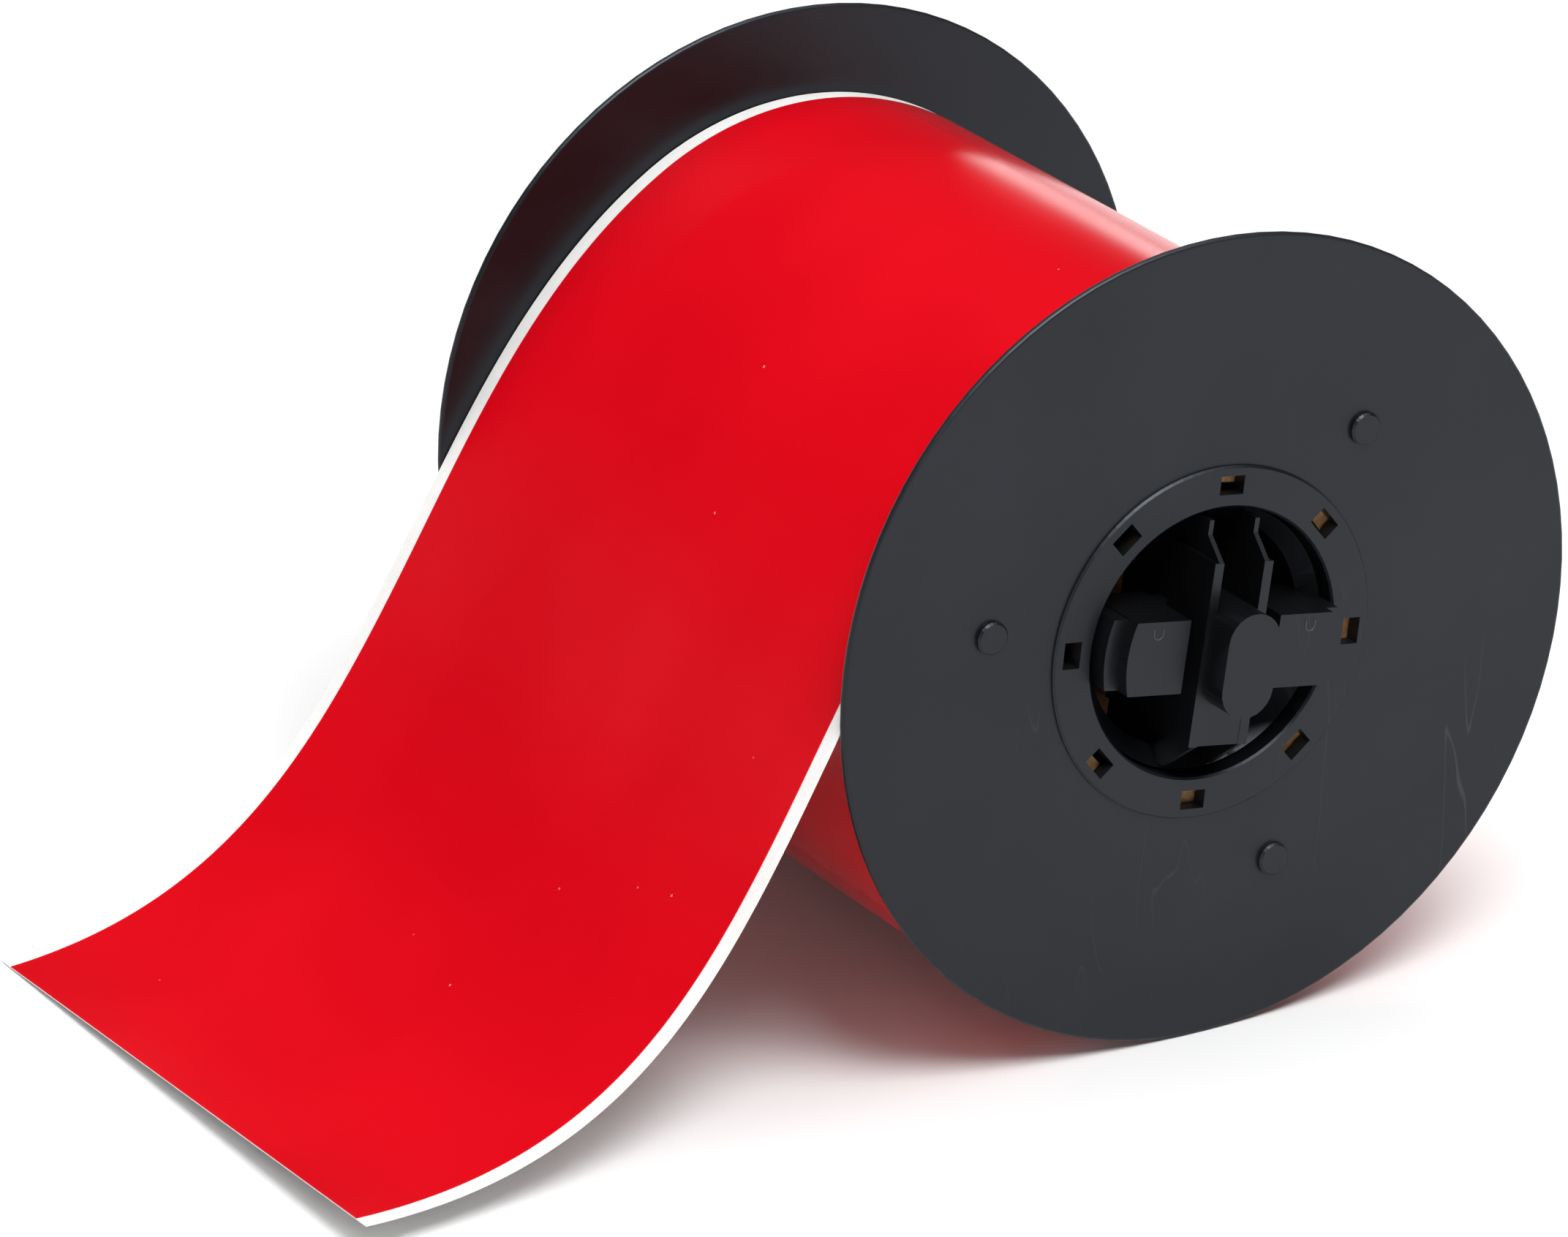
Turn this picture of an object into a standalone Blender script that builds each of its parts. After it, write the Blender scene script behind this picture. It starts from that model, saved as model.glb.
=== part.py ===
"""Roll of sign vinyl: red film on a white release liner, wound on a cardboard core between two
black moulded flanges, with a keyed hub that turns in each end.

Built in metres with +Z up, standing on the flange rims. The spool's axis runs along Y, the open
front end faces -Y, and the loose tail of the web comes off the top and lies out towards -X.
The origin is at the middle of the footprint. Flanges and hubs are modelled in their own frame,
with +Z out of the spool's end, and turned into place by face_out().
"""

import math

import bmesh
import bpy
from mathutils import Matrix

MM = 0.001

# Driving dimensions.
FLANGE_R = 56.5 * MM  # flange radius; the rims stand on the table
INNER_HALF = 53.75 * MM  # centre plane to the inner face of a flange
FLANGE_T = 1.0 * MM  # thickness of the flange disc
COLLAR_H = 0.55 * MM  # the collar stands this far proud of the disc
FILM_W = 101.6 * MM  # the vinyl's width, a nominal 4 inches
LINER_MARGIN = 2.65 * MM  # bare liner on each side of the film
ROLL_TOP_R = 43.9 * MM  # outer surface of the web where it passes over the top
SHEET_T = 0.3 * MM  # thickness of each solid sheet
GAP = 0.3 * MM  # clearance between pieces that touch
PHASE = math.radians(-7.1)  # how far the spool has rolled round from upright
ROUND_STEPS = 96

# Flange moulding: disc, collar with windows, shoulder for the core, and the sleeve inside it.
BORE_R = 18.9 * MM
COLLAR_R = 24.7 * MM
SLEEVE_R = 21.3 * MM
SLEEVE_DEPTH = 24.0 * MM
SHOULDER_R = 24.2 * MM
RIM_ROUND = 0.45 * MM
EDGE_CUT = 0.3 * MM  # chamfer on the collar, bore and pads
WINDOWS = 8
WINDOW_R = 22.0 * MM  # radius of the ring of window centres
WINDOW_SIZE = (2.6 * MM, 3.7 * MM)  # radial and tangential
WINDOW_DEPTH = 6.0 * MM  # the windows run on as pockets in the sleeve
PADS = 3
PAD_R = 2.3 * MM
PAD_RING_R = 34.9 * MM
PAD_ANGLE = math.radians(54.4)
PAD_H = 0.8 * MM

# Cardboard core and the wound turns.
CORE_HALF = 52.7 * MM
CORE_IN_R = SLEEVE_R + GAP
CORE_OUT_R = SHOULDER_R
TAPE_W = 50.0 * MM
TAPE_ARC = (math.radians(60), math.radians(130))
LAP = 2 * SHEET_T + 2 * GAP  # radial room that one turn of liner and film takes
OUTER_LAP_R = ROLL_TOP_R - LAP + GAP  # underside of the liner on the last turn
INNER_LAP_R = OUTER_LAP_R - LAP  # underside of the liner one turn further in
WOUND_R = INNER_LAP_R - GAP

# The last turn is slack and hangs away from the roll, lowest towards the tail's side.
START = math.radians(60)
LEAVE = math.radians(360 + 121.75)  # where the tail lifts off the roll
SAG = 11.6 * MM
SAG_CENTRE = math.radians(238)
SAG_HALF = math.radians(110)
LAP_SHIFT = (math.radians(150), math.radians(400))  # stretch where the turn steps out one lap
TURN_STEP = math.radians(5)

# The tail: a cubic curve from the roll down to the table, ruled between the liner's front and
# rear edges. Its rear corner rests on the table, and its front corner stands a little above it.
TAIL_REACH = (129.9 * MM, 128.7 * MM)  # from the axis to the cut end, at the front and rear edge
TAIL_LIFT = (4.5 * MM, 0.0)
TAIL_HANDLE = 52.0 * MM
TAIL_LEAD_IN = ((70.6 * MM, -5.4 * MM), (65.1 * MM, 0.8 * MM))
TAIL_DRIFT = 6.0 * MM  # sideways, towards the front, at the cut end
DRIFT_FROM = 0.47  # share of the tail that stays straight, between the flanges
TAIL_STEPS = 26
TABLE_GAP = 0.05 * MM

# Hub insert, measured out from the collar's face.
HUB_RING = (16.2 * MM, 18.5 * MM)
HUB_RING_SPAN = (-6.5 * MM, -2.5 * MM)
HUB_RING_SLOPE = 2.2 * MM  # the ring's front face falls back this far towards its inner edge
HUB_FACE = 4.5 * MM  # front of the wings and fins
HUB_TURN = math.radians(-1.5)  # how far the hub has turned in its flange, at rest
WING_IN = 7.1 * MM
WING_R = 16.3 * MM
WING_HALF_H = 5.1 * MM
WING_BACK = -7.4 * MM
LEDGE_R = 18.4 * MM
LEDGE_HALF_H = 4.9 * MM
LEDGE_SPAN = (-5.5 * MM, 2.3 * MM)
BACK_PLATE = (15.0 * MM, 4.7 * MM)  # half width and half height
BACK_PLATE_SPAN = (-7.0 * MM, -5.2 * MM)
FIN_U = 3.9 * MM
FIN_T = 1.4 * MM
FIN_END_T = 0.7 * MM  # the sloping ends are thinner, flush with the fin's inner side
FIN_HALF_H = 17.6 * MM
FIN_STEP = (12.8 * MM, 15.6 * MM)  # heights where the fin's front edge slopes back
FIN_STEP_FACE = 0.9 * MM
FIN_FOOT_FACE = -1.7 * MM  # the lower end slopes all the way back to here
FIN_BACK = -16.0 * MM
FOOT_HEIGHTS = (-12.7 * MM, -5.5 * MM)
FOOT_SPAN = (2.7 * MM, 4.45 * MM)  # just behind the fins' front
BOSS_SPAN = (-6.3 * MM, 9.4 * MM)
BOSS_HALF_W = 4.0 * MM
BOSS_HALF_H = 7.3 * MM
LEDGE_LAP = 3.0 * MM  # how far a ledge runs under its wing
SET_BACK = 0.05 * MM  # joined solids keep their faces this far from one plane

LINER_W = FILM_W + 2 * LINER_MARGIN
AXIS_X = (TAIL_REACH[0] - FLANGE_R) / 2
FLANGE_FACE = INNER_HALF + FLANGE_T
COLLAR_FACE = FLANGE_FACE + COLLAR_H


def clear_scene():
    for obj in list(bpy.data.objects):
        bpy.data.objects.remove(obj, do_unlink=True)
    for block in list(bpy.data.collections):
        bpy.data.collections.remove(block)


def new_collection(name):
    group = bpy.data.collections.new(name)
    bpy.context.scene.collection.children.link(group)
    return group


def material(name, color, roughness):
    mat = bpy.data.materials.new(name)
    mat.use_nodes = True
    shader = mat.node_tree.nodes["Principled BSDF"]
    shader.inputs["Base Color"].default_value = (*color, 1.0)
    shader.inputs["Roughness"].default_value = roughness
    shader.inputs["Metallic"].default_value = 0.0
    return mat


def add_object(name, mesh, group):
    obj = bpy.data.objects.new(name, mesh)
    group.objects.link(obj)
    return obj


def as_tool(obj):
    """Makes obj a helper that only a Boolean uses."""
    obj.hide_render = True
    obj.display_type = "WIRE"
    return obj


def boolean(obj, tool, operation):
    modifier = obj.modifiers.new(tool.name, "BOOLEAN")
    modifier.object = tool
    modifier.operation = operation


def finish(obj, mat, axis_empty, matrix=None):
    """Gives a node its material, smooth shading and place on the spool's axis."""
    if not obj.data.materials:
        obj.data.materials.append(None)
        obj.data.shade_smooth()
        obj.data.set_sharp_from_angle(angle=math.radians(35))
    obj.material_slots[0].link = "OBJECT"
    obj.material_slots[0].material = mat
    obj.parent = axis_empty
    if matrix is not None:
        obj.matrix_local = matrix


def applied(obj, name):
    """The mesh that obj's modifiers give, so that two nodes can share it."""
    bpy.context.view_layer.update()
    graph = bpy.context.evaluated_depsgraph_get()
    mesh = bpy.data.meshes.new_from_object(obj.evaluated_get(graph))
    mesh.name = name
    bpy.data.objects.remove(obj, do_unlink=True)
    return mesh


def face_out(side):
    """Turns a piece's own +Z out of the spool's end: side -1 is the front (-Y), +1 the rear."""
    half_turn = Matrix.Rotation(math.pi if side > 0 else 0.0, 4, "Z")
    return half_turn @ Matrix.Rotation(math.pi / 2, 4, "X") @ Matrix.Rotation(PHASE, 4, "Z")


def turned(name, profile, group):
    """A ring from a closed profile of (radius, height), its outer side running downwards."""
    mesh = bpy.data.meshes.new(name)
    builder = bmesh.new()
    points = [builder.verts.new((radius, 0.0, height)) for radius, height in profile]
    for index, point in enumerate(points):
        builder.edges.new((point, points[(index + 1) % len(points)]))
    builder.to_mesh(mesh)
    builder.free()
    obj = add_object(name, mesh, group)
    screw = obj.modifiers.new("turn", "SCREW")
    screw.steps = ROUND_STEPS
    screw.render_steps = ROUND_STEPS
    screw.use_merge_vertices = True
    screw.merge_threshold = 0.00001
    return obj


def plate(name, outline, low, high, group, frame=None):
    """A flat piece with the given outline, from height low to high in its frame."""
    curve = bpy.data.curves.new(name, "CURVE")
    curve.dimensions = "2D"
    curve.fill_mode = "BOTH"
    curve.extrude = (high - low) / 2
    spline = curve.splines.new("POLY")
    spline.points.add(len(outline) - 1)
    for point, (x, y) in zip(spline.points, outline):
        point.co = (x, y, 0.0, 1.0)
    spline.use_cyclic_u = True
    drawn = bpy.data.objects.new(name + "_outline", curve)
    group.objects.link(drawn)
    lift = Matrix.Translation((0.0, 0.0, (low + high) / 2))
    drawn.matrix_world = (frame or Matrix.Identity(4)) @ lift
    bpy.context.view_layer.update()
    graph = bpy.context.evaluated_depsgraph_get()
    mesh = bpy.data.meshes.new_from_object(drawn.evaluated_get(graph))
    mesh.transform(drawn.matrix_world)
    builder = bmesh.new()
    builder.from_mesh(mesh)
    bmesh.ops.remove_doubles(builder, verts=builder.verts, dist=0.00001)
    bmesh.ops.recalc_face_normals(builder, faces=builder.faces)
    builder.to_mesh(mesh)
    builder.free()
    bpy.data.objects.remove(drawn, do_unlink=True)
    return add_object(name, mesh, group)


def arc(radius, start, end, steps, centre=(0.0, 0.0)):
    turn = [start + (end - start) * step / steps for step in range(steps + 1)]
    return [(centre[0] + radius * math.cos(a), centre[1] + radius * math.sin(a)) for a in turn]


def ribbon(name, front, rear, group):
    """A sheet of SHEET_T on the outer side of the surface ruled between two edges."""
    mesh = bpy.data.meshes.new(name)
    builder = bmesh.new()
    rows = [(builder.verts.new(near), builder.verts.new(far)) for near, far in zip(front, rear)]
    for (near, far), (near_ahead, far_ahead) in zip(rows, rows[1:]):
        builder.faces.new((near, near_ahead, far_ahead, far))
    builder.normal_update()
    builder.faces.ensure_lookup_table()
    first = builder.faces[0]
    if first.normal.dot(first.calc_center_median()) < 0:
        bmesh.ops.reverse_faces(builder, faces=builder.faces)
    builder.to_mesh(mesh)
    builder.free()
    obj = add_object(name, mesh, group)
    skin = obj.modifiers.new("thickness", "SOLIDIFY")
    skin.thickness = SHEET_T
    skin.offset = 1.0
    skin.use_even_offset = True
    return obj


def turn_radius(angle):
    """Radius of the liner's underside on the slack last turn."""
    first, last = LAP_SHIFT
    share = min(max((angle - first) / (last - first), 0.0), 1.0)
    step_out = LAP * share * share * (3 - 2 * share)
    away = (angle - SAG_CENTRE) / SAG_HALF
    sag = SAG * math.cos(away * math.pi / 2) ** 2 if abs(away) < 1 else 0.0
    return INNER_LAP_R + step_out + sag


def cubic(p0, p1, p2, p3, t):
    s = 1 - t
    return tuple(
        s**3 * a + 3 * s * s * t * b + 3 * s * t * t * c + t**3 * d
        for a, b, c, d in zip(p0, p1, p2, p3)
    )


def between(pair, share):
    """The value at a share of the way from the liner's rear edge to its front edge."""
    front, rear = pair
    return rear + (front - rear) * share


def web_path(share):
    """The liner's underside as (x, z) points from the axis: the last turn, then the tail."""
    count = math.floor((LEAVE - START) / TURN_STEP)
    turns = [START + TURN_STEP * index for index in range(count + 1)]
    path = [(turn_radius(a) * math.cos(a), turn_radius(a) * math.sin(a)) for a in turns]
    lift = (OUTER_LAP_R * math.cos(LEAVE), OUTER_LAP_R * math.sin(LEAVE))
    off = (lift[0] - TAIL_HANDLE * math.sin(LEAVE), lift[1] + TAIL_HANDLE * math.cos(LEAVE))
    end = (-between(TAIL_REACH, share), TABLE_GAP - FLANGE_R + between(TAIL_LIFT, share))
    lead_in = tuple(at + between(pair, share) for at, pair in zip(end, zip(*TAIL_LEAD_IN)))
    tail = [cubic(lift, off, lead_in, end, step / TAIL_STEPS) for step in range(TAIL_STEPS + 1)]
    return path + tail


def offset_path(path, distance):
    """Moves an (x, z) path outwards by distance, which is to the right of the way it runs."""
    moved = []
    for index, (x, z) in enumerate(path):
        back = path[max(index - 1, 0)]
        ahead = path[min(index + 1, len(path) - 1)]
        dx, dz = ahead[0] - back[0], ahead[1] - back[1]
        length = math.hypot(dx, dz)
        moved.append((x + distance * dz / length, z - distance * dx / length))
    return moved


def web_edge(y, height):
    """A line along the web at y from the middle, at a height above the liner's underside."""
    path = offset_path(web_path(0.5 - y / LINER_W), height)
    turns = len(path) - TAIL_STEPS - 1
    line = []
    for index, (x, z) in enumerate(path):
        gone = max((index - turns) / TAIL_STEPS - DRIFT_FROM, 0.0) / (1 - DRIFT_FROM)
        line.append((x, y - TAIL_DRIFT * gone * gone, z))
    return line


def flange_profile():
    """Radius and height of the flange moulding, from the collar's outer edge round and back."""
    rim_turn = arc(RIM_ROUND, math.pi / 2, 0.0, 3, (FLANGE_R - RIM_ROUND, FLANGE_FACE - RIM_ROUND))
    inner_turn = arc(RIM_ROUND, 0.0, -math.pi / 2, 3, (FLANGE_R - RIM_ROUND, INNER_HALF + RIM_ROUND))
    return [
        (BORE_R + EDGE_CUT, COLLAR_FACE),
        (COLLAR_R - EDGE_CUT, COLLAR_FACE),
        (COLLAR_R, COLLAR_FACE - EDGE_CUT),
        (COLLAR_R, FLANGE_FACE),
        *rim_turn,
        *inner_turn,
        (SHOULDER_R, INNER_HALF),
        (SHOULDER_R, CORE_HALF + GAP),
        (SLEEVE_R, CORE_HALF + GAP),
        (SLEEVE_R, COLLAR_FACE - SLEEVE_DEPTH),
        (BORE_R, COLLAR_FACE - SLEEVE_DEPTH),
        (BORE_R, COLLAR_FACE - EDGE_CUT),
    ]


def window_cutter(group):
    """Eight boxes that run through the collar and its shoulder to the core's end."""
    mesh = bpy.data.meshes.new("collar_windows")
    builder = bmesh.new()
    size = Matrix.Diagonal((*WINDOW_SIZE, 2 * WINDOW_DEPTH, 1.0))
    for index in range(WINDOWS):
        spin = Matrix.Rotation(2 * math.pi * index / WINDOWS, 4, "Z")
        place = spin @ Matrix.Translation((WINDOW_R, 0.0, COLLAR_FACE)) @ size
        bmesh.ops.create_cube(builder, size=1.0, matrix=place)
    builder.to_mesh(mesh)
    builder.free()
    return as_tool(add_object("collar_windows", mesh, group))


def pad_discs(group):
    """Three round pads that stand on the flange's outer face."""
    mesh = bpy.data.meshes.new("flange_pads")
    builder = bmesh.new()
    sunk = FLANGE_T / 2
    for index in range(PADS):
        spin = Matrix.Rotation(PAD_ANGLE + 2 * math.pi * index / PADS, 4, "Z")
        place = spin @ Matrix.Translation((PAD_RING_R, 0.0, FLANGE_FACE + (PAD_H - sunk) / 2))
        disc = bmesh.ops.create_cone(
            builder,
            cap_ends=True,
            segments=24,
            radius1=PAD_R,
            radius2=PAD_R,
            depth=PAD_H + sunk,
            matrix=place,
        )["verts"]
        top = [point for point in disc if point.co.z > FLANGE_FACE]
        rim = {edge for point in top for edge in point.link_edges if edge.other_vert(point) in top}
        bmesh.ops.bevel(builder, geom=list(rim), offset=EDGE_CUT, segments=1, affect="EDGES")
    builder.to_mesh(mesh)
    builder.free()
    return as_tool(add_object("flange_pads", mesh, group))


def flange_mesh(parts, tools):
    """One moulding, used at both ends: disc, collar with windows, shoulder and sleeve."""
    flange = turned("flange_blank", flange_profile(), parts)
    boolean(flange, pad_discs(tools), "UNION")
    boolean(flange, window_cutter(tools), "DIFFERENCE")
    return applied(flange, "flange")


def wing_outline(outer_radius, inner_u, half_height, side):
    """A block with flat top, bottom and inner sides and an outer edge on the hub's circle."""
    reach = math.asin(half_height / outer_radius)
    edge = arc(outer_radius, -reach, reach, 8)
    outline = [(inner_u, -half_height), *edge, (inner_u, half_height)]
    return [(side * u, side * v) for u, v in outline]


def rectangle(low, high):
    return [low, (high[0], low[1]), high, (low[0], high[1])]


def stadium(half_width, half_height, steps):
    straight = half_height - half_width
    top = arc(half_width, 0.0, math.pi, steps, (0.0, straight))
    bottom = arc(half_width, math.pi, 2 * math.pi, steps, (0.0, -straight))
    return top + bottom


def fin_outline():
    """The fin seen from the side, as (height, distance out): its front slopes back at each end."""
    low, high = FIN_STEP
    front = HUB_FACE - SET_BACK
    upper = [(low, front), (high, FIN_STEP_FACE), (FIN_HALF_H, FIN_STEP_FACE)]
    lower = [(-low, front), (-FIN_HALF_H, FIN_FOOT_FACE)]
    return [(-FIN_HALF_H, FIN_BACK), (FIN_HALF_H, FIN_BACK), *reversed(upper), *lower]


def hub_pieces(group):
    """The solids that are joined into one hub moulding, in the hub's own frame."""
    fin_frame = Matrix(((0, 0, 1, 0), (1, 0, 0, 0), (0, 1, 0, 0), (0, 0, 0, 1)))
    pieces = []
    for side in (-1, 1):
        label = "left" if side < 0 else "right"
        wing = wing_outline(WING_R, WING_IN, WING_HALF_H, side)
        pieces.append(plate(f"{label}_wing", wing, WING_BACK, HUB_FACE, group))
        ledge = wing_outline(LEDGE_R, WING_R - LEDGE_LAP, LEDGE_HALF_H, side)
        pieces.append(plate(f"{label}_ledge", ledge, *LEDGE_SPAN, group))
        thick = [(-FIN_STEP[0], FIN_BACK), (FIN_STEP[0], HUB_FACE)]
        low = side * FIN_U - FIN_T / 2
        fin = (rectangle(*thick), low, low + FIN_T)
        inner_side = side * (FIN_U - FIN_T / 2)
        middle = inner_side + side * (FIN_END_T / 2 + SET_BACK)
        ends = (fin_outline(), middle - FIN_END_T / 2, middle + FIN_END_T / 2)
        for kind, shape in (("fin", fin), ("fin_ends", ends)):
            pieces.append(plate(f"{label}_{kind}", *shape, group, fin_frame))
    half_w, half_h = BACK_PLATE
    back = rectangle((-half_w, -half_h), (half_w, half_h))
    pieces.append(plate("back_plate", back, *BACK_PLATE_SPAN, group))
    low, high = FOOT_HEIGHTS
    foot = rectangle((-FIN_U, low), (FIN_U, high))
    pieces.append(plate("foot", foot, *FOOT_SPAN, group))
    boss = stadium(BOSS_HALF_W, BOSS_HALF_H, 12)
    pieces.append(plate("boss", boss, *BOSS_SPAN, group))
    return pieces


def hub_mesh(parts, tools):
    """One moulding, used at both ends: bearing ring, wings, fins, foot and driven boss."""
    low, high = HUB_RING_SPAN
    inner, outer = HUB_RING
    profile = [(inner, high - HUB_RING_SLOPE), (outer, high), (outer, low), (inner, low)]
    hub = turned("hub_blank", profile, parts)
    for piece in hub_pieces(tools):
        boolean(hub, as_tool(piece), "UNION")
    return applied(hub, "hub")


def make_wound_pieces(mats, axis_empty, parts):
    """Core, the tape on it and the tight turns, which share the spool's axis."""
    upright = Matrix.Rotation(math.pi / 2, 4, "X")
    core = turned("core", tube_profile(CORE_IN_R, CORE_OUT_R, CORE_HALF), parts)
    finish(core, mats["core"], axis_empty, upright)
    tape_r = CORE_OUT_R + GAP
    tape_arc = arc(tape_r, TAPE_ARC[0], TAPE_ARC[1], 14)
    tape_edges = [[(x, y, z) for x, z in tape_arc] for y in (-TAPE_W / 2, TAPE_W / 2)]
    finish(ribbon("core_tape", *tape_edges, parts), mats["core_tape"], axis_empty)
    wound_in = tape_r + SHEET_T + GAP
    wound = turned("wound_roll", tube_profile(wound_in, WOUND_R, LINER_W / 2), parts)
    finish(wound, mats["wound_roll"], axis_empty, upright)


def tube_profile(inner, outer, half_length):
    return [(inner, half_length), (outer, half_length), (outer, -half_length), (inner, -half_length)]


def make_web(mats, axis_empty, parts):
    """The slack last turn and the tail, as the white liner with the red film on its outer side."""
    for name, width, height in (("liner_web", LINER_W, 0.0), ("vinyl_web", FILM_W, SHEET_T + GAP)):
        edges = [web_edge(y, height) for y in (-width / 2, width / 2)]
        finish(ribbon(name, *edges, parts), mats[name], axis_empty)


def main():
    clear_scene()
    parts = new_collection("sign_vinyl_roll")
    tools = new_collection("cutters")
    axis_empty = bpy.data.objects.new("spool_axis", None)
    axis_empty.location = (AXIS_X, 0.0, FLANGE_R)
    parts.objects.link(axis_empty)

    colors = {
        "front_flange": ((0.042, 0.044, 0.050), 0.45),
        "rear_flange": ((0.042, 0.044, 0.050), 0.45),
        "front_hub": ((0.036, 0.038, 0.043), 0.42),
        "rear_hub": ((0.036, 0.038, 0.043), 0.42),
        "core": ((0.33, 0.19, 0.09), 0.9),
        "core_tape": ((0.72, 0.66, 0.50), 0.4),
        "wound_roll": ((0.55, 0.01, 0.02), 0.4),
        "liner_web": ((0.86, 0.86, 0.85), 0.5),
        "vinyl_web": ((0.68, 0.002, 0.006), 0.25),
    }
    mats = {name: material(name, *look) for name, look in colors.items()}

    flange = flange_mesh(parts, tools)
    hub = hub_mesh(parts, tools)
    hub_turn = Matrix.Rotation(HUB_TURN, 4, "Z")
    for end, side in (("front", -1), ("rear", 1)):
        turn = face_out(side)
        out = Matrix.Translation((0.0, side * COLLAR_FACE, 0.0))
        name = f"{end}_flange"
        finish(add_object(name, flange, parts), mats[name], axis_empty, turn)
        name = f"{end}_hub"
        finish(add_object(name, hub, parts), mats[name], axis_empty, out @ turn @ hub_turn)
    make_wound_pieces(mats, axis_empty, parts)
    make_web(mats, axis_empty, parts)


main()
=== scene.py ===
"""Looks for the roll of sign vinyl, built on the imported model.

The flanges, hubs and core keep their CAD shape and get moulded plastic and cardboard. The liner
and the film are made here as two thin sheets that follow one line: round the roll, out over the
slack last turn, over the top again, and down the tail to the table.
"""

import math

import bmesh
import bpy
from mathutils import Matrix, Vector

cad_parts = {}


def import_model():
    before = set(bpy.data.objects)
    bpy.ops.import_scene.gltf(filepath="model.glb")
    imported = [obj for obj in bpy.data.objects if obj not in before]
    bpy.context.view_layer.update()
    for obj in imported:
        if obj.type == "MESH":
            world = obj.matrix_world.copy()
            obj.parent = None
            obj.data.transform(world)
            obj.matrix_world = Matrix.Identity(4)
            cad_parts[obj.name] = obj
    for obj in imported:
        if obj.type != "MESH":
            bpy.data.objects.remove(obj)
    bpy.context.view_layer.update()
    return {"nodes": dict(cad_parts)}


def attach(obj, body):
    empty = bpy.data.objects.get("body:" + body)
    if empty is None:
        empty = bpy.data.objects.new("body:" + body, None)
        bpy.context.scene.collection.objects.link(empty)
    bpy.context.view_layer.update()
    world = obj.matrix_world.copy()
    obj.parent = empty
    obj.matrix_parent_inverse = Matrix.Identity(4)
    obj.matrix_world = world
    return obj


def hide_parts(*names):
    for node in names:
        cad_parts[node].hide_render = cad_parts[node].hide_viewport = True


MM = 0.001

# The spool, as the CAD has it.
FLANGE_R = 56.5 * MM
AXIS = Vector((36.7 * MM, 0.0, FLANGE_R))
COLLAR_FACE = 55.3 * MM
PHASE = math.radians(-7.1)
HUB_TURN = math.radians(-1.5)
HUB_FACE = 4.5 * MM

# The raised U marks on the hub's wings, in millimetres.
MARK_U = 12.0
MARK_V = 3.4
MARK_HALF_W = 0.72
MARK_ARM = 0.75
MARK_WIRE = 0.12

# The web: film on liner, both real thicknesses.
FILM_W = 101.6 * MM
LINER_W = 107.1 * MM
FILM_T = 0.10 * MM
LINER_T = 0.12 * MM
STACK = FILM_T + LINER_T
ROLL_TOP_R = 43.9 * MM
LAP = STACK + 0.05 * MM

# The slack last turn.
START = math.radians(60)
LEAVE = math.radians(360 + 121.75)
SAG = 11.0 * MM
SAG_CENTRE = math.radians(238)
SAG_HALF = math.radians(110)
LAP_SHIFT = (math.radians(150), math.radians(400))
TURN_STEP = math.radians(1.25)

# The tail, down to the table: where a pair stands, it is for the liner's front and rear edges.
TAIL_REACH = (129.9 * MM, 128.7 * MM)
TAIL_LIFT = (4.5 * MM, 0.0)
TAIL_HANDLE = 52.0 * MM
TAIL_LEAD_IN = ((70.6 * MM, -5.4 * MM), (65.1 * MM, 0.8 * MM))
TAIL_DRIFT = 6.0 * MM
DRIFT_FROM = 0.47
TAIL_STEPS = 120
TABLE_GAP = 0.08 * MM
ACROSS = 32

# Studio backdrop: sine of the elevation where it starts and stops fading, then its two strengths.
HORIZON_FADE = (0.08, 0.16, 1.7, 0.03)
MAP_RANGE = ("From Min", "From Max", "To Min", "To Max")

CAMERA_FROM_AXIS = Vector((-0.66514, -1.07399, 0.49702))
CAMERA_FORWARD = Vector((0.46995, 0.79850, -0.37623))
CAMERA_LENS = 228.48
FLOOR_HALF = 6.0
SHARP_ANGLE = math.radians(40)

# Bevels on the mouldings' edges, and how close two packed points are joined first.
EDGE_WIDTHS = {
    "front_flange": 0.12 * MM,
    "rear_flange": 0.12 * MM,
    "front_hub": 0.18 * MM,
    "rear_hub": 0.18 * MM,
}
WELD_WITHIN = 0.002 * MM

# Softboxes: place, target, size in metres and power in watts.
SOFTBOXES = {
    "overhead": ((0.0, 0.0, 3.4), (0.0, 0.0, 0.0), (6.0, 6.0), 172.0),
    "key": ((-0.1, -1.05, 1.75), (0.0, 0.0, 0.05), (0.9, 0.9), 31.0),
}

# Base colours, and where there are two, the dark and light end of their mottling.
SCUFF_TONE = (0.045, 0.048, 0.055)
FLANGE_TONES = ((0.0012, 0.0015, 0.0024), (0.0068, 0.0075, 0.0094))
HUB_TONES = ((0.0016, 0.0018, 0.0024), (0.0046, 0.0049, 0.0058))
# The U marks are painted a lighter grey than the hub: a painted highlight for the light their
# small rounded ridges catch, not a colour of their own.
MARK_PAINTED_HIGHLIGHT_TONES = ((0.03, 0.032, 0.036), (0.05, 0.053, 0.06))
BOARD_TONES = ((0.38, 0.19, 0.075), (0.70, 0.42, 0.21))
BOARD_FLECK = (0.12, 0.06, 0.03)
FILM_TONES = ((0.60, 0.0003, 0.0066), (0.65, 0.0006, 0.0074))
FILM_DUST = (0.9, 0.32, 0.3)
LINER_TONES = ((0.84, 0.83, 0.81), (0.9, 0.9, 0.89))
LAYER_TONES = ((0.6, 0.005, 0.01), (0.84, 0.82, 0.8))
TAPE_TONES = ((0.68, 0.6, 0.42), (0.78, 0.72, 0.56))
FLOOR_TONES = ((0.86, 0.86, 0.865), (0.89, 0.89, 0.89))


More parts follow.
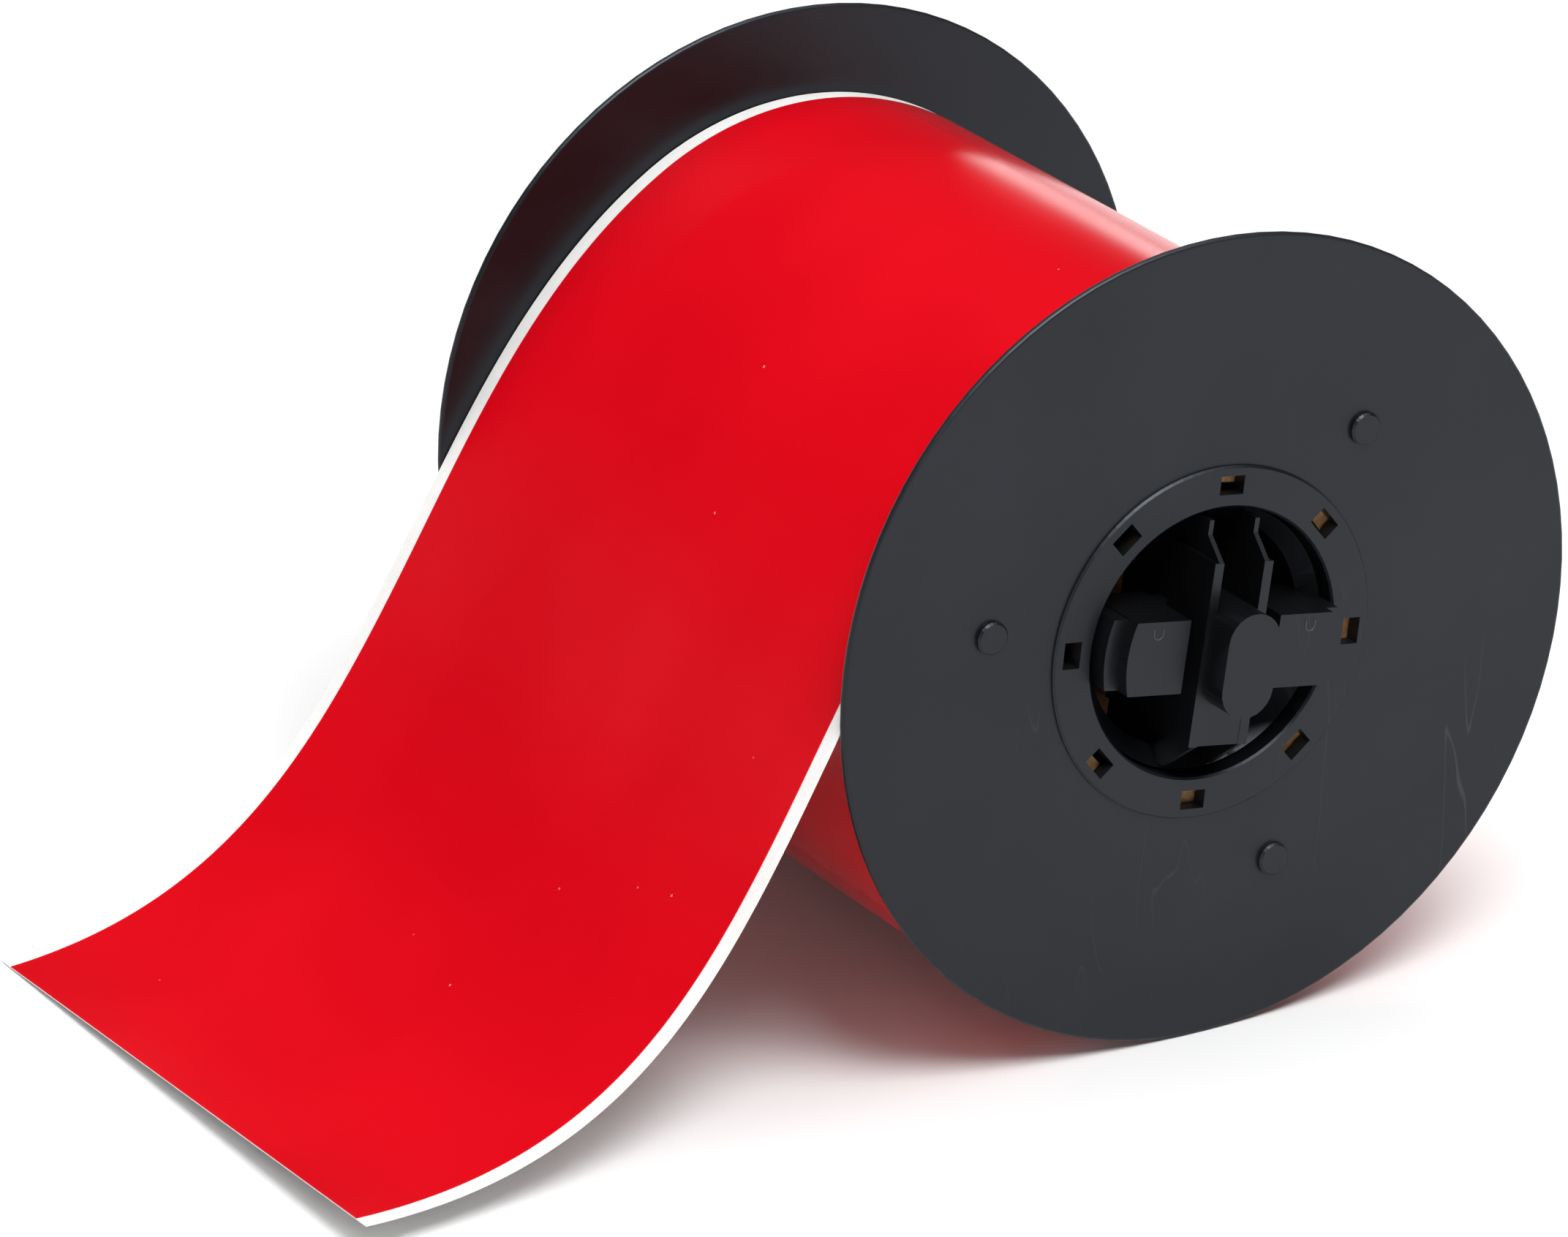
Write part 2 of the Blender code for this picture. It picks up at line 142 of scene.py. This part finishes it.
class Shader:
    """A material's node tree, with short calls for the nodes used here."""

    def __init__(self, name):
        self.material = bpy.data.materials.new(name)
        self.material.use_nodes = True
        self.nodes = self.material.node_tree.nodes
        self.links = self.material.node_tree.links
        self.surface = self.nodes["Principled BSDF"]
        self.place = self.nodes.new("ShaderNodeTexCoord").outputs["Object"]

    def set(self, **values):
        for name, value in values.items():
            self.surface.inputs[name.replace("_", " ")].default_value = value

    def link(self, output, name):
        self.links.new(output, self.surface.inputs[name])

    def scaled(self, stretch=(1, 1, 1), turn=(0, 0, 0)):
        node = self.nodes.new("ShaderNodeMapping")
        node.inputs["Scale"].default_value = stretch
        node.inputs["Rotation"].default_value = turn
        self.links.new(self.place, node.inputs["Vector"])
        return node.outputs["Vector"]

    def noise(self, scale, detail=4.0, roughness=0.55, vector=None, distortion=0.0):
        node = self.nodes.new("ShaderNodeTexNoise")
        node.inputs["Scale"].default_value = scale
        node.inputs["Detail"].default_value = detail
        node.inputs["Roughness"].default_value = roughness
        node.inputs["Distortion"].default_value = distortion
        self.links.new(vector or self.place, node.inputs["Vector"])
        return node.outputs["Fac"]

    def spots(self, scale):
        """Distance to the nearest of a scatter of points."""
        node = self.nodes.new("ShaderNodeTexVoronoi")
        node.inputs["Scale"].default_value = scale
        self.links.new(self.place, node.inputs["Vector"])
        return node.outputs["Distance"]

    def remap(self, value, low, high, to_low, to_high):
        node = self.nodes.new("ShaderNodeMapRange")
        for name, number in zip(MAP_RANGE, (low, high, to_low, to_high)):
            node.inputs[name].default_value = number
        self.links.new(value, node.inputs["Value"])
        return node.outputs["Result"]

    def maths(self, operation, first, second=0.0):
        node = self.nodes.new("ShaderNodeMath")
        node.operation = operation
        for socket, value in zip(node.inputs, (first, second)):
            if isinstance(value, (int, float)):
                socket.default_value = value
            else:
                self.links.new(value, socket)
        return node.outputs["Value"]

    def mix(self, factor, first, second):
        node = self.nodes.new("ShaderNodeMix")
        node.data_type = "RGBA"
        for name, value in (("A", first), ("B", second)):
            socket = [s for s in node.inputs if s.name == name and s.type == "RGBA"][0]
            if isinstance(value, tuple):
                socket.default_value = (*value, 1.0)
            else:
                self.links.new(value, socket)
        self.links.new(factor, node.inputs["Factor"])
        return [s for s in node.outputs if s.type == "RGBA"][0]

    def bump(self, height, distance, strength=1.0, normal=None):
        node = self.nodes.new("ShaderNodeBump")
        node.inputs["Distance"].default_value = distance
        node.inputs["Strength"].default_value = strength
        self.links.new(height, node.inputs["Height"])
        if normal is not None:
            self.links.new(normal, node.inputs["Normal"])
        return node.outputs["Normal"]


def moulded_black(name, tones, roughness):
    """Fine-grained black plastic, mottled, with a few hairlines, specks and shallow scuffs."""
    shader = Shader(name)
    patches = shader.noise(22.0, detail=5.0, roughness=0.6, distortion=0.6)
    broad = shader.noise(9.0, detail=3.0, distortion=1.2)
    grain = shader.noise(2600.0, detail=2.0)
    clouds = shader.remap(shader.maths("ADD", patches, broad), 0.78, 1.24, 0.0, 1.0)
    threads = shader.noise(11.0, 3.0, 0.5, shader.scaled((6, 1, 1), (0.2, 0.9, 0.1)))
    off_thread = shader.maths("ABSOLUTE", shader.maths("SUBTRACT", threads, 0.5))
    handled = shader.remap(shader.noise(16.0, 2.0), 0.58, 0.68, 0.0, 0.6)
    hairs = shader.remap(off_thread, 0.0, 0.003, 1.0, 0.0)
    hairlines = shader.maths("MULTIPLY", hairs, handled)
    specks = shader.remap(shader.spots(80.0), 0.008, 0.014, 0.7, 0.0)
    marks = shader.maths("MAXIMUM", hairlines, specks)
    tone = shader.mix(clouds, *tones)
    shader.link(shader.mix(marks, tone, SCUFF_TONE), "Base Color")
    worn = shader.remap(patches, 0.3, 0.75, roughness - 0.05, roughness + 0.07)
    shader.link(worn, "Roughness")
    scuff_lines = shader.noise(30.0, 6.0, 0.7, shader.scaled((14, 1, 2), (0.3, 0.5, 0.2)))
    scuffs = shader.remap(scuff_lines, 0.64, 0.7, 0.0, 1.0)
    fine = shader.bump(grain, 0.00002, 0.5)
    shader.link(shader.bump(scuffs, 0.00002, 0.25, fine), "Normal")
    shader.set(Specular_IOR_Level=0.4, Specular_Tint=(0.82, 0.89, 1.0, 1.0))
    return shader.material


def cardboard(name):
    """Brown board with drawn-out fibres and darker flecks."""
    shader = Shader(name)
    fibres = shader.noise(900.0, 6.0, 0.7, shader.scaled((1.0, 0.25, 1.0)))
    flecks = shader.noise(2400.0, 3.0, 0.5)
    tone = shader.mix(shader.remap(fibres, 0.3, 0.7, 0.0, 1.0), *BOARD_TONES)
    dark = shader.remap(flecks, 0.62, 0.72, 0.0, 0.6)
    shader.link(shader.mix(dark, tone, BOARD_FLECK), "Base Color")
    shader.link(shader.bump(fibres, 0.0001, 0.6), "Normal")
    shader.set(Roughness=0.9, Specular_IOR_Level=0.3)
    return shader.material


def red_film(name):
    """Glossy cast vinyl: an even red with a faint orange peel and a few specks of dust."""
    shader = Shader(name)
    peel = shader.noise(700.0, 2.0, 0.5)
    waves = shader.noise(26.0, 2.0, 0.45)
    tint = shader.mix(shader.remap(waves, 0.35, 0.65, 0.0, 1.0), *FILM_TONES)
    speck = shader.remap(shader.spots(95.0), 0.012, 0.022, 1.0, 0.0)
    shader.link(shader.mix(speck, tint, FILM_DUST), "Base Color")
    shader.link(shader.remap(waves, 0.3, 0.7, 0.15, 0.2), "Roughness")
    soft = shader.bump(waves, 0.0004, 0.3)
    shader.link(shader.bump(peel, 0.000006, 0.5, soft), "Normal")
    shader.set(Specular_IOR_Level=0.5)
    return shader.material


def liner_paper(name):
    """Smooth white release paper with a faint pulp cloud."""
    shader = Shader(name)
    pulp = shader.noise(240.0, 5.0, 0.6)
    cloud = shader.remap(pulp, 0.3, 0.7, 0.0, 1.0)
    shader.link(shader.mix(cloud, *LINER_TONES), "Base Color")
    shader.link(shader.remap(pulp, 0.3, 0.7, 0.36, 0.46), "Roughness")
    shader.link(shader.bump(pulp, 0.00003, 0.4), "Normal")
    return shader.material


def wound_layers(name):
    """Ends of the wound turns: thin red and white rings round the spool's axis."""
    shader = Shader(name)
    centred = shader.nodes.new("ShaderNodeVectorMath")
    centred.operation = "SUBTRACT"
    shader.links.new(shader.place, centred.inputs[0])
    centred.inputs[1].default_value = AXIS
    flat = shader.nodes.new("ShaderNodeVectorMath")
    flat.operation = "MULTIPLY"
    shader.links.new(centred.outputs["Vector"], flat.inputs[0])
    flat.inputs[1].default_value = (1.0, 0.0, 1.0)
    radius = shader.nodes.new("ShaderNodeVectorMath")
    radius.operation = "LENGTH"
    shader.links.new(flat.outputs["Vector"], radius.inputs[0])
    turns = shader.maths("FRACT", shader.maths("DIVIDE", radius.outputs["Value"], STACK))
    white = shader.remap(turns, 0.45, 0.55, 0.0, 1.0)
    shader.link(shader.mix(white, *LAYER_TONES), "Base Color")
    shader.set(Roughness=0.45)
    return shader.material


def packing_tape(name):
    """Clear-tan adhesive tape with faint creases."""
    shader = Shader(name)
    creases = shader.noise(160.0, 3.0, 0.5, shader.scaled((1.0, 4.0, 1.0)))
    shader.link(shader.mix(creases, *TAPE_TONES), "Base Color")
    shader.link(shader.bump(creases, 0.00003, 0.4), "Normal")
    shader.set(Roughness=0.3)
    return shader.material


def pale_floor(name):
    """Plain pale studio floor."""
    shader = Shader(name)
    mottle = shader.noise(1.5, 3.0, 0.5)
    shader.link(shader.mix(mottle, *FLOOR_TONES), "Base Color")
    shader.set(Roughness=0.65, Specular_IOR_Level=0.2)
    return shader.material


def turn_radius(angle):
    """Radius of the stack's underside on the slack last turn."""
    first, last = LAP_SHIFT
    share = min(max((angle - first) / (last - first), 0.0), 1.0)
    step_out = LAP * share * share * (3 - 2 * share)
    away = (angle - SAG_CENTRE) / SAG_HALF
    sag = SAG * math.cos(away * math.pi / 2) ** 2 if abs(away) < 1 else 0.0
    return ROLL_TOP_R - STACK - LAP + step_out + sag


def cubic(p0, p1, p2, p3, t):
    s = 1 - t
    return p0 * s**3 + p1 * 3 * s * s * t + p2 * 3 * s * t * t + p3 * t**3


def web_edge(edge):
    """The liner's underside as (x, z) points about the spool's axis, at its front or rear edge."""
    count = math.floor((LEAVE - START) / TURN_STEP)
    line = []
    for index in range(count + 1):
        angle = START + TURN_STEP * index
        line.append(Vector((math.cos(angle), math.sin(angle))) * turn_radius(angle))
    lift = Vector((math.cos(LEAVE), math.sin(LEAVE))) * turn_radius(LEAVE)
    along = Vector((-math.sin(LEAVE), math.cos(LEAVE)))
    end = Vector((-TAIL_REACH[edge], TABLE_GAP - FLANGE_R + TAIL_LIFT[edge]))
    lead_in = end + Vector(TAIL_LEAD_IN[edge])
    curve = (lift, lift + along * TAIL_HANDLE, lead_in, end)
    return line + [cubic(*curve, step / TAIL_STEPS) for step in range(TAIL_STEPS + 1)]


def drift_along(count):
    """How far the web has run towards the front at each point: only the tail does."""
    turns = count - TAIL_STEPS - 1
    drift = []
    for index in range(count):
        past = max((index - turns) / TAIL_STEPS - DRIFT_FROM, 0.0)
        share = past / (1 - DRIFT_FROM)
        drift.append(TAIL_DRIFT * share * share)
    return drift


def outward(line):
    """The unit normal at each point, to the right of the way the line runs."""
    normals = []
    for index in range(len(line)):
        step = line[min(index + 1, len(line) - 1)] - line[max(index - 1, 0)]
        normals.append(Vector((step.y, -step.x)).normalized())
    return normals


def sheet_between(name, low, high, width, material):
    """A thin closed sheet that follows the web, from height low to high above its underside."""
    mesh = bpy.data.meshes.new(name)
    builder = bmesh.new()
    edges = [list(zip(line, outward(line))) for line in (web_edge(0), web_edge(1))]
    rows = []
    for front, rear, drift in zip(*edges, drift_along(len(edges[0]))):
        row = []
        for height in (low, high):
            near, far = (point + normal * height for point, normal in (front, rear))
            for step in range(ACROSS + 1):
                y = width * (step / ACROSS - 0.5)
                place = near.lerp(far, y / LINER_W + 0.5)
                row.append(builder.verts.new((AXIS.x + place.x, y - drift, AXIS.z + place.y)))
        rows.append(row)
    wide = ACROSS + 1
    for row, ahead in zip(rows, rows[1:]):
        for step in range(ACROSS):
            builder.faces.new((row[step], ahead[step], ahead[step + 1], row[step + 1]))
            top = wide + step
            builder.faces.new((row[top], row[top + 1], ahead[top + 1], ahead[top]))
        builder.faces.new((row[0], row[wide], ahead[wide], ahead[0]))
        builder.faces.new((row[ACROSS], ahead[ACROSS], ahead[ACROSS + wide], row[ACROSS + wide]))
    for row in (rows[0], rows[-1]):
        for step in range(ACROSS):
            builder.faces.new((row[step], row[step + 1], row[wide + step + 1], row[wide + step]))
    bmesh.ops.recalc_face_normals(builder, faces=builder.faces)
    builder.to_mesh(mesh)
    builder.free()
    obj = bpy.data.objects.new(name, mesh)
    bpy.context.scene.collection.objects.link(obj)
    mesh.materials.append(material)
    mesh.shade_smooth()
    mesh.set_sharp_from_angle(angle=SHARP_ANGLE)
    return obj


def make_web(materials):
    liner = sheet_between("liner_sheet", 0.0, LINER_T, LINER_W, materials["liner"])
    film = sheet_between("film_sheet", LINER_T, STACK, FILM_W, materials["film"])
    for piece, node, slot, width in (
        (liner, "liner_web", "liner_paper", LINER_W),
        (film, "vinyl_web", "vinyl_film", FILM_W),
    ):
        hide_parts(node)
        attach(piece, "spool")


def round_edges(obj, width):
    """Softens the moulding's edges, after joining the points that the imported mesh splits."""
    weld = obj.modifiers.new("weld", "WELD")
    weld.merge_threshold = WELD_WITHIN
    bevel = obj.modifiers.new("edges", "BEVEL")
    bevel.width = width
    bevel.segments = 2
    bevel.limit_method = "ANGLE"
    bevel.angle_limit = SHARP_ANGLE
    bevel.harden_normals = True


def dress_nodes(nodes, materials):
    for name, key in (
        ("front_flange", "flange"),
        ("rear_flange", "flange"),
        ("front_hub", "hub"),
        ("rear_hub", "hub"),
        ("core", "core"),
        ("core_tape", "tape"),
        ("wound_roll", "wound"),
    ):
        nodes[name].material_slots[0].material = materials[key]


def make_marks(end, side, material):
    """The two small raised U marks that the mould leaves near the top of the wings."""
    curve = bpy.data.curves.new(f"{end}_marks", "CURVE")
    curve.dimensions = "3D"
    curve.bevel_depth = MARK_WIRE * MM
    curve.bevel_resolution = 2
    curve.use_fill_caps = True
    for u in (-MARK_U, MARK_U):
        bowl = [(math.cos(a), math.sin(a)) for a in steps(math.pi, 2 * math.pi, 10)]
        bowl = [(u + MARK_HALF_W * x, MARK_V + MARK_HALF_W * y) for x, y in bowl]
        tops = [(u + side_of * MARK_HALF_W, MARK_V + MARK_ARM) for side_of in (-1, 1)]
        points = [tops[0], *bowl, tops[1]]
        spline = curve.splines.new("POLY")
        spline.points.add(len(points) - 1)
        for point, (x, y) in zip(spline.points, points):
            point.co = (x * MM, y * MM, HUB_FACE, 1.0)
    drawn = bpy.data.objects.new(f"{end}_marks_line", curve)
    bpy.context.scene.collection.objects.link(drawn)
    bpy.context.view_layer.update()
    graph = bpy.context.evaluated_depsgraph_get()
    mesh = bpy.data.meshes.new_from_object(drawn.evaluated_get(graph))
    bpy.data.objects.remove(drawn)
    half_turn = Matrix.Rotation(math.pi if side > 0 else 0.0, 4, "Z")
    turn = half_turn @ Matrix.Rotation(math.pi / 2, 4, "X")
    out = Matrix.Translation(AXIS + Vector((0, side * COLLAR_FACE, 0)))
    mesh.transform(out @ turn @ Matrix.Rotation(PHASE + HUB_TURN, 4, "Z"))
    mesh.shade_smooth()
    mesh.materials.clear()
    # The marks take the lighter grey material, a painted highlight on their ridges.
    mesh.materials.append(material)
    marks = bpy.data.objects.new(f"{end}_hub_marks", mesh)
    bpy.context.scene.collection.objects.link(marks)
    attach(marks, f"{end}_hub")


def steps(start, end, count):
    return [start + (end - start) * index / count for index in range(count + 1)]


def make_stage(material):
    mesh = bpy.data.meshes.new("floor")
    builder = bmesh.new()
    bmesh.ops.create_grid(builder, x_segments=1, y_segments=1, size=FLOOR_HALF)
    builder.to_mesh(mesh)
    builder.free()
    floor = bpy.data.objects.new("floor", mesh)
    mesh.materials.append(material)
    bpy.context.scene.collection.objects.link(floor)


def add_softbox(name, place, target, size, power):
    light = bpy.data.lights.new(name, "AREA")
    light.shape = "RECTANGLE"
    light.size, light.size_y = size
    light.energy = power
    lamp = bpy.data.objects.new(name, light)
    lamp.location = place
    lamp.rotation_euler = (Vector(target) - Vector(place)).to_track_quat("-Z", "Y").to_euler()
    bpy.context.scene.collection.objects.link(lamp)


def make_world():
    """A white studio: bright up to just above the horizon, and dim higher up."""
    world = bpy.data.worlds.new("studio")
    bpy.context.scene.world = world
    world.use_nodes = True
    nodes, links = world.node_tree.nodes, world.node_tree.links
    height = nodes.new("ShaderNodeSeparateXYZ")
    links.new(nodes.new("ShaderNodeTexCoord").outputs["Generated"], height.inputs["Vector"])
    fade = nodes.new("ShaderNodeMapRange")
    fade.interpolation_type = "SMOOTHSTEP"
    for name, value in zip(MAP_RANGE, HORIZON_FADE):
        fade.inputs[name].default_value = value
    links.new(height.outputs["Z"], fade.inputs["Value"])
    links.new(fade.outputs["Result"], nodes["Background"].inputs["Strength"])
    nodes["Background"].inputs["Color"].default_value = (1.0, 1.0, 1.0, 1.0)


def make_lights():
    make_world()
    for name, setting in SOFTBOXES.items():
        add_softbox(name, *setting)


def make_camera():
    camera = bpy.data.objects.new("camera", bpy.data.cameras.new("camera"))
    bpy.context.scene.collection.objects.link(camera)
    camera.location = AXIS + CAMERA_FROM_AXIS
    camera.rotation_euler = CAMERA_FORWARD.to_track_quat("-Z", "Y").to_euler()
    camera.data.sensor_width = 36.0
    camera.data.lens = CAMERA_LENS
    camera.data.clip_start = 0.05
    camera.data.clip_end = 50.0
    bpy.context.scene.camera = camera


def main():
    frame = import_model()
    bpy.context.scene.view_settings.view_transform = "Standard"
    materials = {
        "flange": moulded_black("flange_plastic", FLANGE_TONES, 0.4),
        "hub": moulded_black("hub_plastic", HUB_TONES, 0.34),
        # The marks' lighter grey is a painted highlight; the real marks are the hub's own black
        # plastic.
        "mark": moulded_black("mark_painted_highlight_plastic", MARK_PAINTED_HIGHLIGHT_TONES, 0.28),
        "core": cardboard("core_board"),
        "tape": packing_tape("tape"),
        "wound": wound_layers("wound_layers"),
        "film": red_film("red_film"),
        "liner": liner_paper("liner_paper"),
        "floor": pale_floor("pale_floor"),
    }
    nodes = frame["nodes"]
    dress_nodes(nodes, materials)
    for name, width in EDGE_WIDTHS.items():
        round_edges(nodes[name], width)
    make_web(materials)
    make_marks("front", -1, materials["mark"])
    make_marks("rear", 1, materials["mark"])
    make_stage(materials["floor"])
    make_lights()
    make_camera()


main()
